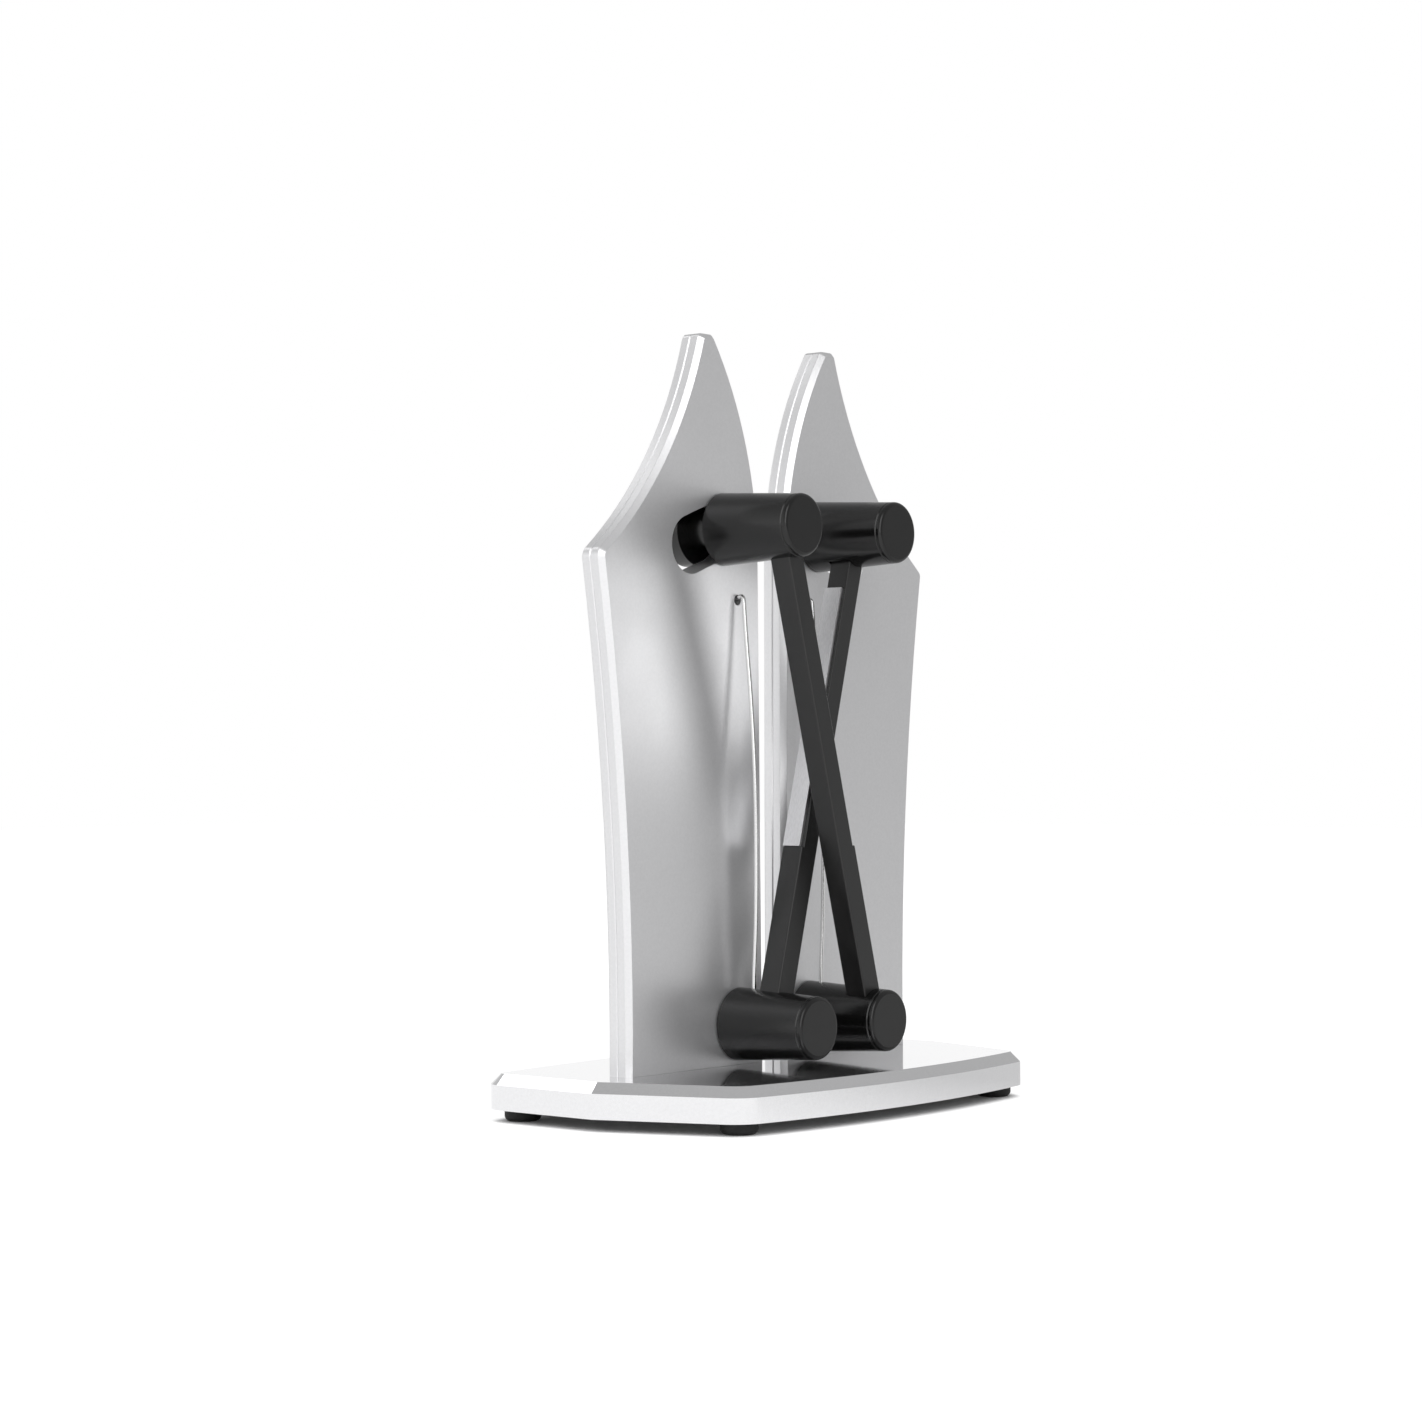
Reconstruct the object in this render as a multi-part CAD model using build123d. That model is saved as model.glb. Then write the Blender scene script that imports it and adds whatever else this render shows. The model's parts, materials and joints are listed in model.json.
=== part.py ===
from build123d import *
import os
from math import cos, degrees, radians, sin

# Pull-through knife sharpener with two crossed spring levers, in millimetres.
# X runs across the face, Y from the user to the back, Z up. The origin is on the
# ground under the middle of the base. "Fin y" below is measured from the plane
# where the two shells of a fin meet, negative towards the user.

# Base shell
BASE_WIDTH = 151.0
BASE_DEPTH = 89.0
BASE_REAR_TAPER = 1.9
BASE_FRONT_TAPER = 13.1
FRONT_BOW = 6.5
REAR_BOW = 4.9
SIDE_CORNER_SET_BACK = 45.0
FRONT_CORNER_RADIUS = 9.4
SIDE_CORNER_RADIUS = 1.0
REAR_CORNER_RADIUS = 6.5
SHELL_RIDE_HEIGHT = 3.2
SHELL_SIDE_HEIGHT = 6.5
BASE_BEVEL = 2.7
SHELL_TOP_WALL = 3.0
SHELL_RIM = 3.0
BOSS_RADIUS = 5.0

# Base plate, feet and the screws of the base
PLATE_THICKNESS = 2.0
PLATE_PROUD = 0.6
PLATE_CLEARANCE = 0.2
PLATE_SEAT_DEPTH = PLATE_THICKNESS - PLATE_PROUD
FOOT_RADIUS = 4.8
FOOT_EDGE_RADIUS = 1.5
FOOT_STEM_RADIUS = 2.1
FRONT_FOOT_INSET_X = 6.3
FRONT_FOOT_INSET_Y = 6.5
REAR_FOOT_INSET_X = 7.7
REAR_FOOT_INSET_Y = 7.0
BASE_SCREW_INSET = 14.0
BASE_SCREW_RADIUS = 1.2
BASE_SCREW_HEAD_RADIUS = 2.4
BASE_SCREW_HEAD_HEIGHT = 1.1
BASE_SCREW_GRIP = 4.2

# Fins
OVERALL_HEIGHT = 205.9
FIN_THICKNESS = 7.9
FIN_SET_BACK = 5.0
FIN_CHAMFER = 1.4
PARTING_CHAMFER = 0.3
FIN_FOOT_OUTER_X = 60.2
FIN_SHOULDER_X = 70.2
FIN_SHOULDER_HEIGHT = 146.65
FIN_SIDE_SAG = 3.0
FIN_HORN_SAG = 5.8
FIN_TIP_OUTER_X = 29.3
FIN_TIP_INNER_X = 23.7
FIN_TIP_RADIUS = 1.6
FIN_SHOULDER_RADIUS = 3.0
BLADE_GAP_FOOT = 8.3
BLADE_GAP_SHOULDER = 10.0
FIN_WALL = 1.9
FIN_RIM = 2.8
FIN_RIB_THICKNESS = 1.4
FIN_RIB_COUNT = 4
FIN_FOOT_BLOCK = 14.0
FIN_HORN_BLOCK = 24.0
FIN_BOSS_WALL = 1.5
FIN_SCREW_RADIUS = 1.5
FIN_SCREW_HEAD_RADIUS = 3.0
FIN_SCREW_HEAD_HEIGHT = 1.8
FIN_SCREW_GRIP = 12.0
FIN_SCREW_X_SHARES = (0.36, 0.8)
SHELL_SCREW_RADIUS = 1.1
SHELL_SCREW_HEAD_RADIUS = 2.0
SHELL_SCREW_HEAD_HEIGHT = 1.2
SHELL_SCREW_GRIP = 2.4
SHELL_SCREW_SHARES = ((0.71, 0.27), (0.83, 0.87), (0.31, 0.73))

# Levers, from the lower hub's pivot to the upper knob
PIVOT_X = 15.5
PIVOT_HEIGHT = 23.25
LEVER_LENGTH = 136.0
REST_ANGLE = 15.4
LEVER_TRAVEL = 7.0
BARREL_GAP = 0.45
BARREL_RADIUS = 9.65
BARREL_END_RADIUS = 8.2
BARREL_LENGTH = 26.6
BARREL_EDGE_RADIUS = 1.1
CAP_THICKNESS = 1.6
CAP_GROOVE = 0.25
CAP_LIP_LENGTH = 1.0
CAP_LIP_WALL = 0.9

# Pivot inside each hub
PIN_RADIUS = 3.0
PIN_SEAT_DEPTH = 5.6
RUNNING_CLEARANCE = 0.05
SEAT_CLEARANCE = 0.03
END_PLAY = 0.2
WASHER_RADIUS = 4.0
WASHER_THICKNESS = 0.8
PIVOT_SCREW_RADIUS = 1.5
PIVOT_SCREW_HEAD_RADIUS = 2.6
PIVOT_SCREW_HEAD_HEIGHT = 1.4
PIVOT_SCREW_GRIP = 10.0
RECESS_CLEARANCE = 0.4
HEAD_HEADROOM = 0.2

# Arms and their sharpening strips
ARM_WIDTH = 6.8
ARM_DEPTH = 6.5
ARM_EDGE_RADIUS = 0.5
INNER_ARM_FRONT = 18.2
OUTER_ARM_FRONT = 26.8
SOCKET_FLOOR = 4.55
ARM_NOTCH_HEIGHT = 48.0
STRIP_LENGTH = 72.0
STRIP_THICKNESS = 1.8
STRIP_PROUD = 0.95
STRIP_LIP = 0.9

# Spigots, arc slots and rear caps
SPIGOT_RADIUS = 5.0
SLOT_WIDTH = 15.4
SLOT_REST_GAP = 0.3
SLOT_END_GAP = 0.6
REAR_CAP_RADIUS = 9.4
REAR_CAP_THICKNESS = 5.6
REAR_CAP_EDGE_RADIUS = 1.0
CAP_SCREW_RADIUS = 1.5
CAP_SCREW_HEAD_RADIUS = 2.8
CAP_SCREW_HEAD_HEIGHT = 1.6
CAP_SCREW_GRIP = 8.0

# Spring wires
WIRE_RADIUS = 0.6
WIRE_HOLE_RADIUS = 1.4
WIRE_HOLE_X = 15.0
WIRE_HOLE_HEIGHT = 135.85
WIRE_FOOT_OFFSET = 0.9
WIRE_FOOT_DEPTH = 4.2
WIRE_FOOT_BACK = 4.1
WIRE_FOOT_RISE = 5.0
WIRE_HOOK_REACH = 1.4
WIRE_BOW = 9.6
WIRE_BOW_SHARES = ((0.2, 0.97), (0.5, 1.0), (0.78, 0.83))
WIRE_HOOK_FRONT = 5.4
WIRE_BEND_RADIUS = 1.8
WIRE_BOW_RADIUS = 60.0

OVERRUN = 5.0

HALF_FIN = FIN_THICKNESS / 2
FRONT_Y = -BASE_DEPTH / 2
SIDE_X = BASE_WIDTH / 2
FRONT_X = SIDE_X - BASE_FRONT_TAPER
REAR_X = SIDE_X - BASE_REAR_TAPER
FIN_Y = FIN_SET_BACK
SHELL_SIDE_TOP = SHELL_RIDE_HEIGHT + SHELL_SIDE_HEIGHT
BASE_TOP = SHELL_SIDE_TOP + BASE_BEVEL
PLATE_BOTTOM = SHELL_RIDE_HEIGHT - PLATE_PROUD
PLATE_TOP = PLATE_BOTTOM + PLATE_THICKNESS
BARREL_BACK = HALF_FIN + BARREL_GAP
BARREL_FRONT = BARREL_BACK + BARREL_LENGTH
CAP_BACK = BARREL_FRONT - CAP_THICKNESS
SCREW_HEAD_FRONT = CAP_BACK - HEAD_HEADROOM
WASHER_FRONT = SCREW_HEAD_FRONT - PIVOT_SCREW_HEAD_HEIGHT
PIN_FRONT = WASHER_FRONT - WASHER_THICKNESS
RECESS_BACK = PIN_FRONT - END_PLAY
RECESS_RADIUS = WASHER_RADIUS + RECESS_CLEARANCE
TAPER = (BARREL_RADIUS - BARREL_END_RADIUS) / BARREL_LENGTH
SLOT_RADIUS = SLOT_WIDTH / 2
SPIGOT_SLACK = degrees((SLOT_RADIUS - SPIGOT_RADIUS) / LEVER_LENGTH)
SLOT_START_ANGLE = REST_ANGLE + SPIGOT_SLACK - degrees(SLOT_REST_GAP / LEVER_LENGTH)
SLOT_END_ANGLE = REST_ANGLE + LEVER_TRAVEL - SPIGOT_SLACK + degrees(SLOT_END_GAP / LEVER_LENGTH)


def rod(radius, low, high):
    """A cylinder about the Z axis from one height to another."""
    return Pos(0, 0, low) * Cylinder(radius, high - low, align=(Align.CENTER, Align.CENTER, Align.MIN))


def along_y(shape, x, z):
    """Turns a shape made about Z so that its height runs towards the user, at x and z on the fins."""
    return Pos(x, FIN_Y, z) * Rot(90, 0, 0) * shape


def mirrored(shape):
    """The same piece on the other side of the knife slot."""
    return mirror(shape, about=Plane.YZ)


def lathe(points, edge_radius):
    """A turned solid about Z from (radius, height) points, with its last outer edge rounded."""
    outline = make_face(Plane.XZ * Polyline(*points, close=True))
    solid = revolve(outline, Axis.Z)
    top = solid.edges().filter_by(GeomType.CIRCLE).group_by(Axis.Z)[-1]
    return fillet(top, edge_radius)


# Base
def base_outline():
    """Plan of the base: bowed front and rear edges, and sides that come in towards the front."""
    front_corner_y = FRONT_Y + FRONT_BOW
    side_corner_y = FRONT_Y + SIDE_CORNER_SET_BACK
    rear_corner_y = BASE_DEPTH / 2 - REAR_BOW
    front = ThreePointArc((-FRONT_X, front_corner_y), (0, FRONT_Y), (FRONT_X, front_corner_y))
    right = Polyline((FRONT_X, front_corner_y), (SIDE_X, side_corner_y), (REAR_X, rear_corner_y))
    rear = ThreePointArc((REAR_X, rear_corner_y), (0, BASE_DEPTH / 2), (-REAR_X, rear_corner_y))
    left = Polyline((-REAR_X, rear_corner_y), (-SIDE_X, side_corner_y), (-FRONT_X, front_corner_y))
    face = make_face([front, right, rear, left])
    face = fillet(corners_near(face, FRONT_X, front_corner_y), FRONT_CORNER_RADIUS)
    return fillet(corners_near(face, REAR_X, rear_corner_y), REAR_CORNER_RADIUS)


def corners_near(face, x, y):
    """The corner of a mirrored plan nearest to (x, y), and its twin on the other side."""
    return [face.vertices().sort_by_distance((side * x, y))[0] for side in (-1, 1)]


def foot_places():
    """Name and centre of each foot."""
    front_x = FRONT_X - FRONT_FOOT_INSET_X
    front_y = FRONT_Y + FRONT_BOW + FRONT_FOOT_INSET_Y
    rear_x = REAR_X - REAR_FOOT_INSET_X
    rear_y = BASE_DEPTH / 2 - REAR_BOW - REAR_FOOT_INSET_Y
    return {
        "front_left_foot": (-front_x, front_y),
        "front_right_foot": (front_x, front_y),
        "rear_left_foot": (-rear_x, rear_y),
        "rear_right_foot": (rear_x, rear_y),
    }


def base_screw_places():
    """Each base screw stands beside a foot, towards the middle."""
    return [(x - BASE_SCREW_INSET * (1 if x > 0 else -1), y) for x, y in foot_places().values()]


def fin_screw_places():
    """Two screws under each fin, on the plane where its shells meet."""
    return [(side * share * FIN_FOOT_OUTER_X, FIN_Y) for side in (-1, 1) for share in FIN_SCREW_X_SHARES]


def screw(shank_radius, head_radius, head_height, grip):
    """A pan head screw that points up: its head starts at zero and its shank follows."""
    return rod(head_radius, 0, head_height) + rod(shank_radius, head_height, head_height + grip)


def at_places(shape, places, z):
    """Copies of one solid at each place."""
    return Compound([Pos(x, y, z) * shape for x, y in places])


def side_corner_edges(shell):
    """The upright edge at each side corner and the bevel edge above it."""
    y = FRONT_Y + SIDE_CORNER_SET_BACK
    edges = []
    for side in (-1, 1):
        corner = (side * SIDE_X, y, SHELL_SIDE_TOP)
        edges += shell.edges().filter_by(lambda e: e.distance_to(corner) < SIDE_CORNER_RADIUS / 2
                                         and abs(e.length - SHELL_SIDE_HEIGHT) < BASE_BEVEL)
    return edges


def make_base_shell():
    """Cast cover with a bevelled top edge, hollow underneath, with a boss for each screw."""
    plan = base_outline()
    side = extrude(Pos(0, 0, SHELL_RIDE_HEIGHT) * plan, SHELL_SIDE_HEIGHT + BASE_BEVEL)
    shell = chamfer(side.faces().sort_by(Axis.Z)[-1].outer_wire().edges(), BASE_BEVEL)
    shell = fillet(side_corner_edges(shell), SIDE_CORNER_RADIUS)
    seat = offset(plan, -SHELL_RIM, kind=Kind.ARC)
    shell -= extrude(Pos(0, 0, SHELL_RIDE_HEIGHT) * seat, PLATE_SEAT_DEPTH)
    cavity = offset(plan, -SHELL_RIM - BASE_BEVEL, kind=Kind.ARC)
    for x, y in base_screw_places() + fin_screw_places() + list(foot_places().values()):
        cavity -= Pos(x, y) * Circle(BOSS_RADIUS)
    shell -= extrude(Pos(0, 0, PLATE_TOP) * cavity, BASE_TOP - SHELL_TOP_WALL - PLATE_TOP)
    for x, y in base_screw_places():
        shell -= Pos(x, y) * rod(BASE_SCREW_RADIUS + SEAT_CLEARANCE, PLATE_TOP, PLATE_TOP + BASE_SCREW_GRIP)
    head_top = PLATE_TOP + FIN_SCREW_HEAD_HEIGHT
    for x, y in fin_screw_places():
        shell -= Pos(x, y) * rod(FIN_SCREW_RADIUS + SEAT_CLEARANCE, 0, BASE_TOP + OVERRUN)
        shell -= Pos(x, y) * rod(FIN_SCREW_HEAD_RADIUS + SEAT_CLEARANCE, 0, head_top)
    return shell


def make_base_plate():
    """Dark plate that closes the shell, with holes for the feet's stems and the screws."""
    plan = offset(base_outline(), -SHELL_RIM - PLATE_CLEARANCE, kind=Kind.ARC)
    plate = extrude(Pos(0, 0, PLATE_BOTTOM) * plan, PLATE_THICKNESS)
    for x, y in foot_places().values():
        plate -= Pos(x, y) * rod(FOOT_STEM_RADIUS + SEAT_CLEARANCE, 0, PLATE_TOP + OVERRUN)
    head_top = PLATE_BOTTOM + BASE_SCREW_HEAD_HEIGHT
    for x, y in base_screw_places():
        plate -= Pos(x, y) * rod(BASE_SCREW_RADIUS + SEAT_CLEARANCE, 0, PLATE_TOP + OVERRUN)
        plate -= Pos(x, y) * rod(BASE_SCREW_HEAD_RADIUS + SEAT_CLEARANCE, 0, head_top)
    return plate


def make_foot():
    """Rubber foot: a button with a rounded lower edge, and a stem above."""
    button = rod(FOOT_RADIUS, 0, PLATE_BOTTOM)
    button = fillet(button.edges().group_by(Axis.Z)[0], FOOT_EDGE_RADIUS)
    return button + rod(FOOT_STEM_RADIUS, PLATE_BOTTOM, PLATE_TOP)


def make_base_screws():
    """Screws that hold the plate to the shell."""
    grip = PLATE_THICKNESS - BASE_SCREW_HEAD_HEIGHT + BASE_SCREW_GRIP
    one = screw(BASE_SCREW_RADIUS, BASE_SCREW_HEAD_RADIUS, BASE_SCREW_HEAD_HEIGHT, grip)
    return at_places(one, base_screw_places(), PLATE_BOTTOM)


def make_fin_screws():
    """Screws from inside the base up into the fins."""
    grip = BASE_TOP - PLATE_TOP - FIN_SCREW_HEAD_HEIGHT + FIN_SCREW_GRIP
    one = screw(FIN_SCREW_RADIUS, FIN_SCREW_HEAD_RADIUS, FIN_SCREW_HEAD_HEIGHT, grip)
    return at_places(one, fin_screw_places(), PLATE_TOP)


# Fins
def on_fin(sketch):
    """Stands a sketch of X and height up on the plane where the shells meet."""
    return Plane(origin=(0, FIN_Y, 0), x_dir=(1, 0, 0), z_dir=(0, -1, 0)) * sketch


def fin_outline():
    """Right fin seen from the front: flared side, shoulder, hollow-backed horn and rounded throat."""
    foot_inner = (BLADE_GAP_FOOT / 2, BASE_TOP)
    foot_outer = (FIN_FOOT_OUTER_X, BASE_TOP)
    shoulder = (FIN_SHOULDER_X, FIN_SHOULDER_HEIGHT)
    tip_outer = (FIN_TIP_OUTER_X, OVERALL_HEIGHT)
    tip_inner = (FIN_TIP_INNER_X, OVERALL_HEIGHT)
    throat = (BLADE_GAP_SHOULDER / 2, FIN_SHOULDER_HEIGHT)
    side = SagittaArc(foot_outer, shoulder, FIN_SIDE_SAG)
    horn = SagittaArc(shoulder, tip_outer, FIN_HORN_SAG)
    cheek = TangentArc(throat, tip_inner, tangent=(0, 1))
    face = make_face([
        Line(foot_inner, foot_outer), side, horn, Line(tip_outer, tip_inner),
        cheek, Line(throat, foot_inner),
    ])
    tips = face.vertices().group_by(Axis.Y)[-1]
    face = fillet(tips, FIN_TIP_RADIUS)
    return fillet(face.vertices().sort_by(Axis.X)[-1], FIN_SHOULDER_RADIUS)


def slot_outline():
    """Arc slot of the right fin, centred on the pivot of the lever that comes through it."""
    centre = Pos(-PIVOT_X, PIVOT_HEIGHT)
    arc = CenterArc((0, 0), LEVER_LENGTH, 90 - SLOT_END_ANGLE, SLOT_END_ANGLE - SLOT_START_ANGLE)
    return centre * SlotArc(arc, SLOT_WIDTH)


def shell_screw_places():
    """X and height of each screw that closes the right fin."""
    return [(across * FIN_SHOULDER_X, up * FIN_SHOULDER_HEIGHT) for across, up in SHELL_SCREW_SHARES]


def boss_places():
    """Centre and radius of each boss inside the right fin."""
    bosses = [(PIVOT_X, PIVOT_HEIGHT, PIN_RADIUS), (WIRE_HOLE_X, WIRE_HOLE_HEIGHT, WIRE_HOLE_RADIUS)]
    bosses += [(x, z, SHELL_SCREW_HEAD_RADIUS) for x, z in shell_screw_places()]
    return [(x, z, bore + FIN_BOSS_WALL) for x, z, bore in bosses]


def pocket_outline():
    """Room inside a shell: clear of its rim, the slot's wall, the ribs, the bosses and the solid ends."""
    low = BASE_TOP + FIN_FOOT_BLOCK
    high = OVERALL_HEIGHT - FIN_HORN_BLOCK
    pitch = (FIN_SHOULDER_HEIGHT - low) / FIN_RIB_COUNT
    middle = (low + high) / 2
    room = offset(fin_outline(), -FIN_RIM, kind=Kind.ARC)
    room &= Pos(FIN_SHOULDER_X / 2, middle) * Rectangle(FIN_SHOULDER_X, high - low)
    room -= offset(slot_outline(), FIN_RIM)
    for step in range(1, FIN_RIB_COUNT + 1):
        room -= Pos(FIN_SHOULDER_X / 2, low + step * pitch) * Rectangle(FIN_SHOULDER_X, FIN_RIB_THICKNESS)
    for x, z, radius in boss_places():
        room -= Pos(x, z) * Circle(radius)
    return room


def fin_blank(to_front):
    """One shell of the right fin with its chamfered face and the fine line at the joint."""
    blank = extrude(on_fin(fin_outline()), HALF_FIN if to_front else -HALF_FIN)
    outer = blank.faces().sort_by(Axis.Y)[0 if to_front else -1]
    above = lambda edge: edge.center().Z > BASE_TOP + PARTING_CHAMFER
    blank = chamfer(outer.outer_wire().edges().filter_by(above), FIN_CHAMFER)
    joint = blank.faces().sort_by(Axis.Y)[-1 if to_front else 0]
    return chamfer(joint.outer_wire().edges().filter_by(above), PARTING_CHAMFER)


def make_fin(to_front):
    """Right fin shell with the arc slot and every hole that crosses it."""
    shell = fin_blank(to_front)
    pocket_depth = HALF_FIN - FIN_WALL
    shell -= extrude(on_fin(pocket_outline()), pocket_depth if to_front else -pocket_depth)
    shell -= extrude(on_fin(slot_outline()), FIN_THICKNESS, both=True)
    shell -= along_y(rod(WIRE_HOLE_RADIUS, -FIN_THICKNESS, FIN_THICKNESS), WIRE_HOLE_X, WIRE_HOLE_HEIGHT)
    pin_hole = rod(PIN_RADIUS + SEAT_CLEARANCE, HALF_FIN - PIN_SEAT_DEPTH, FIN_THICKNESS)
    shell -= along_y(pin_hole, PIVOT_X, PIVOT_HEIGHT)
    for x, z in shell_screw_places():
        shank = rod(SHELL_SCREW_RADIUS + SEAT_CLEARANCE, -FIN_THICKNESS, SHELL_SCREW_GRIP)
        head_seat = SHELL_SCREW_HEAD_HEIGHT - HALF_FIN
        shell -= along_y(shank, x, z)
        shell -= along_y(rod(SHELL_SCREW_HEAD_RADIUS + SEAT_CLEARANCE, -FIN_THICKNESS, head_seat), x, z)
    for x, y in fin_screw_places():
        shell -= Pos(x, y) * rod(FIN_SCREW_RADIUS + SEAT_CLEARANCE, 0, BASE_TOP + FIN_SCREW_GRIP)
    return shell


def make_shell_screws():
    """Screws that close each fin from behind."""
    grip = HALF_FIN - SHELL_SCREW_HEAD_HEIGHT + SHELL_SCREW_GRIP
    one = screw(SHELL_SCREW_RADIUS, SHELL_SCREW_HEAD_RADIUS, SHELL_SCREW_HEAD_HEIGHT, grip)
    right = [along_y(Pos(0, 0, -HALF_FIN) * one, x, z) for x, z in shell_screw_places()]
    return Compound(right + [mirrored(piece) for piece in right])


# Levers. Each is made as the inner one, whose hub is on the left, and the outer one is mirrored.
def knob_place():
    """Centre of the inner lever's knob at rest."""
    angle = radians(REST_ANGLE)
    return -PIVOT_X + LEVER_LENGTH * sin(angle), PIVOT_HEIGHT + LEVER_LENGTH * cos(angle)


def leaning(shape):
    """Leans a lever piece made upright over the left pivot to its rest angle."""
    return Pos(-PIVOT_X, FIN_Y, PIVOT_HEIGHT) * Rot(0, REST_ANGLE, 0) * shape


def barrel():
    """Tapered black barrel up to its cap, lying towards the user."""
    radius = BARREL_RADIUS - TAPER * (CAP_BACK - BARREL_BACK)
    points = [
        (0, BARREL_BACK), (BARREL_RADIUS, BARREL_BACK), (radius, CAP_BACK - CAP_GROOVE),
        (radius - CAP_GROOVE, CAP_BACK), (0, CAP_BACK),
    ]
    return revolve(make_face(Plane.XZ * Polyline(*points, close=True)), Axis.Z)


def make_cap():
    """Front cap of a barrel, with the ring that plugs into the recess behind it."""
    radius = BARREL_RADIUS - TAPER * (CAP_BACK - BARREL_BACK)
    points = [
        (0, CAP_BACK), (radius - CAP_GROOVE, CAP_BACK), (radius, CAP_BACK + CAP_GROOVE),
        (BARREL_END_RADIUS, BARREL_FRONT), (0, BARREL_FRONT),
    ]
    lip = RECESS_RADIUS - RUNNING_CLEARANCE
    ring = rod(lip, CAP_BACK - CAP_LIP_LENGTH, CAP_BACK) - rod(lip - CAP_LIP_WALL, 0, CAP_BACK)
    return lathe(points, BARREL_EDGE_RADIUS) + ring


def arm_socket(arm_front):
    """What the arm takes out of the hub and the knob, between the floors of its two sockets."""
    middle = ARM_DEPTH / 2 - arm_front
    height = LEVER_LENGTH - 2 * SOCKET_FLOOR
    width = ARM_WIDTH + 2 * RUNNING_CLEARANCE
    depth = ARM_DEPTH + 2 * RUNNING_CLEARANCE
    return leaning(Pos(0, middle, LEVER_LENGTH / 2) * Box(width, depth, height))


def make_arm(arm_front):
    """Moulded bar, rounded along its edges, cut back on the blade side for the strip."""
    middle = ARM_DEPTH / 2 - arm_front
    height = LEVER_LENGTH - 2 * SOCKET_FLOOR - 2 * RUNNING_CLEARANCE
    bar = Pos(0, middle, LEVER_LENGTH / 2) * Box(ARM_WIDTH, ARM_DEPTH, height)
    bar = fillet(bar.edges().filter_by(Axis.Z), ARM_EDGE_RADIUS)
    above = (Align.CENTER, Align.CENTER, Align.MIN)
    step = Pos(-ARM_WIDTH / 2, middle, ARM_NOTCH_HEIGHT)
    bar -= step * Box(2 * STRIP_PROUD, ARM_DEPTH + OVERRUN, LEVER_LENGTH, align=above)
    return leaning(bar - strip_box(arm_front))


def strip_box(arm_front):
    """Hard strip in its seat, flush with the blade side and short of the arm's front face."""
    depth = ARM_DEPTH - STRIP_LIP
    corner = (Align.MIN, Align.MIN, Align.MIN)
    seat = Pos(-ARM_WIDTH / 2, STRIP_LIP - arm_front, ARM_NOTCH_HEIGHT)
    return seat * Box(STRIP_THICKNESS, depth, STRIP_LENGTH, align=corner)


def make_strip(arm_front):
    """Sharpening strip of hard metal."""
    return leaning(strip_box(arm_front))


def make_hub(arm_front):
    """Lower barrel, bored for its pin, recessed for the washer and socketed for the arm and wire."""
    body = barrel()
    body -= rod(PIN_RADIUS + RUNNING_CLEARANCE, 0, BARREL_FRONT)
    body -= rod(RECESS_RADIUS, RECESS_BACK, BARREL_FRONT)
    hub = along_y(body, -PIVOT_X, PIVOT_HEIGHT)
    wire_floor = BARREL_RADIUS - WIRE_FOOT_DEPTH
    wire_hole = rod(WIRE_RADIUS + RUNNING_CLEARANCE, wire_floor, BARREL_RADIUS + OVERRUN)
    wire_place = Pos(wire_foot_x(), FIN_Y - BARREL_BACK - WIRE_FOOT_BACK, PIVOT_HEIGHT)
    return hub - arm_socket(arm_front) - wire_place * wire_hole


def make_knob(arm_front):
    """Upper barrel with the spigot that runs in the fin's arc slot."""
    x, z = knob_place()
    body = barrel() + rod(SPIGOT_RADIUS, -BARREL_BACK, BARREL_BACK)
    body -= rod(RECESS_RADIUS, CAP_BACK - CAP_LIP_LENGTH - HEAD_HEADROOM, BARREL_FRONT)
    body -= rod(CAP_SCREW_RADIUS + SEAT_CLEARANCE, -BARREL_BACK, CAP_SCREW_GRIP - BARREL_BACK)
    return along_y(body, x, z) - arm_socket(arm_front)


def make_rear_cap():
    """Black disc behind the fin that keeps the spigot in its slot."""
    x, z = knob_place()
    back = -BARREL_BACK - REAR_CAP_THICKNESS
    disc = rod(REAR_CAP_RADIUS, back, -BARREL_BACK)
    disc = fillet(disc.edges().sort_by(Axis.Z)[0], REAR_CAP_EDGE_RADIUS)
    disc -= rod(CAP_SCREW_RADIUS + SEAT_CLEARANCE, back, 0)
    disc -= rod(CAP_SCREW_HEAD_RADIUS + SEAT_CLEARANCE, back, back + CAP_SCREW_HEAD_HEIGHT)
    return along_y(disc, x, z)


def make_cap_screw():
    """Screw that holds the rear cap on the spigot."""
    x, z = knob_place()
    grip = REAR_CAP_THICKNESS - CAP_SCREW_HEAD_HEIGHT + CAP_SCREW_GRIP
    one = screw(CAP_SCREW_RADIUS, CAP_SCREW_HEAD_RADIUS, CAP_SCREW_HEAD_HEIGHT, grip)
    return along_y(Pos(0, 0, -BARREL_BACK - REAR_CAP_THICKNESS) * one, x, z)


def make_pin():
    """Pivot pin seated in both shells of the fin, bored for its screw."""
    pin = rod(PIN_RADIUS, HALF_FIN - PIN_SEAT_DEPTH, PIN_FRONT)
    pin -= rod(PIVOT_SCREW_RADIUS + SEAT_CLEARANCE, PIN_FRONT - PIVOT_SCREW_GRIP, PIN_FRONT)
    return along_y(pin, -PIVOT_X, PIVOT_HEIGHT)


def make_washer():
    """Washer that keeps the hub on its pin."""
    ring = rod(WASHER_RADIUS, PIN_FRONT, WASHER_FRONT)
    ring -= rod(PIVOT_SCREW_RADIUS + SEAT_CLEARANCE, 0, BARREL_FRONT)
    return along_y(ring, -PIVOT_X, PIVOT_HEIGHT)


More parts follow.
